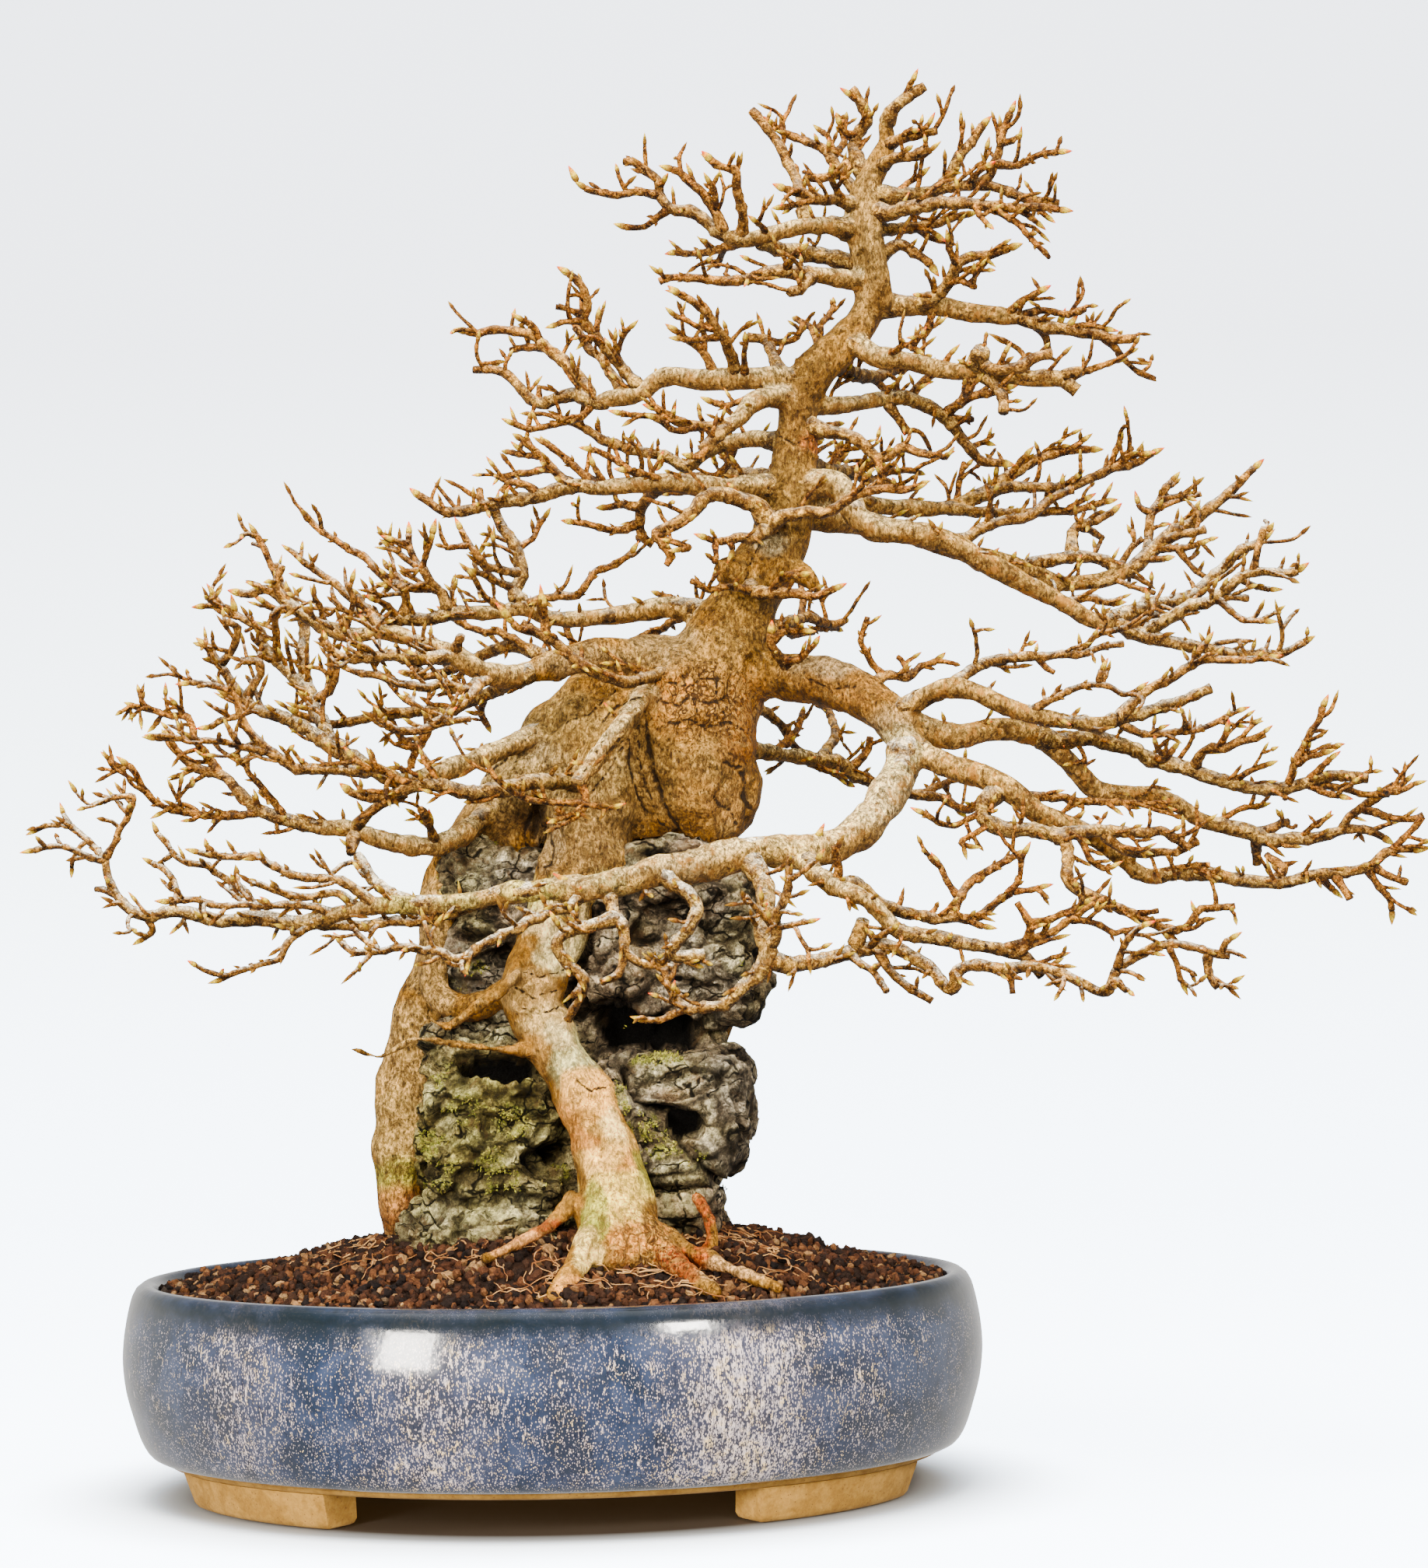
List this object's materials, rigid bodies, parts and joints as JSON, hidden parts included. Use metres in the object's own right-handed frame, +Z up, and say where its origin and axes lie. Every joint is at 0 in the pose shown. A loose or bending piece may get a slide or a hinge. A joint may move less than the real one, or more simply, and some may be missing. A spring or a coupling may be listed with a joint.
{
  "type": "potted bonsai tree",
  "caption": "Leafless trident maple bonsai grown over a rock, its roots gripping the stone, in a shallow oval glazed footed pot of granular soil.",
  "frame": {"origin": "middle of the footprint of the whole tree and pot, on the surface that the pot's feet stand on", "axes": "+X to the right and +Z up as seen from the front; the front of the tree faces -Y. The pot's middle is at X about -0.091, so the tree leans out past the pot on the right"},
  "size_m": [0.6718, 0.334, 0.6905],
  "materials": {
    "glazed_pot": "glossy slate blue glaze flecked with cream; bare buff clay at the base band and feet",
    "screen_mesh": "black moulded plastic net",
    "soil_grains": "dark red-brown fired clay grains, 3 to 6 mm, matte",
    "rock_stone": "dark grey-brown weathered stone with pale worn edges and moss",
    "trunk_bark": "olive-tan bark with grey, cream and orange patches, fine cracks and pruning scars",
    "twig_bark": "pale grey-beige bark on the branches, orange-brown twigs, red-tipped buds"
  },
  "bodies": {
    "root": {"pot": "glazed_pot", "screen_left": "screen_mesh", "screen_right": "screen_mesh", "soil": "soil_grains", "rock": "rock_stone", "trunk": "trunk_bark", "branch_front_sweep": "twig_bark", "branch_low_right": "twig_bark", "branch_fork_low": "twig_bark", "branch_left_low": "twig_bark", "branch_left_long": "twig_bark", "branch_left_stub": "twig_bark", "branch_left_back": "twig_bark", "branch_left_shelf": "twig_bark", "branch_front_diagonal": "twig_bark", "branch_front_shoot": "twig_bark", "branch_left_loop": "twig_bark", "branch_left_mid": "twig_bark", "branch_eye": "twig_bark", "branch_left_drop": "twig_bark", "branch_left_deep": "twig_bark", "branch_left_high": "twig_bark", "branch_apex_left": "twig_bark", "branch_apex_left_low": "twig_bark", "branch_apex_back_left": "twig_bark", "branch_apex_front_left": "twig_bark", "branch_top_left": "twig_bark", "branch_top": "twig_bark", "branch_top_right": "twig_bark", "branch_top_right_low": "twig_bark", "branch_apex_right": "twig_bark", "branch_apex_right_low": "twig_bark", "branch_apex_right_back": "twig_bark", "branch_right_hook": "twig_bark", "branch_right_high": "twig_bark", "branch_right_shelf": "twig_bark", "branch_right_under": "twig_bark", "branch_right_slip": "twig_bark", "branch_right_grey": "twig_bark", "branch_right_mid": "twig_bark", "branch_right_upper": "twig_bark", "branch_right_cut": "twig_bark", "branch_fork_twigs": "twig_bark", "branch_right_long": "twig_bark", "branch_right_low": "twig_bark", "branch_back_low": "twig_bark", "branch_back_mid": "twig_bark", "branch_back_left": "twig_bark", "branch_back_upper": "twig_bark", "branch_back_right": "twig_bark", "branch_back_high": "twig_bark", "branch_front_twig": "twig_bark", "branch_front_bud_shoot": "twig_bark"}
  },
  "joints": []
}
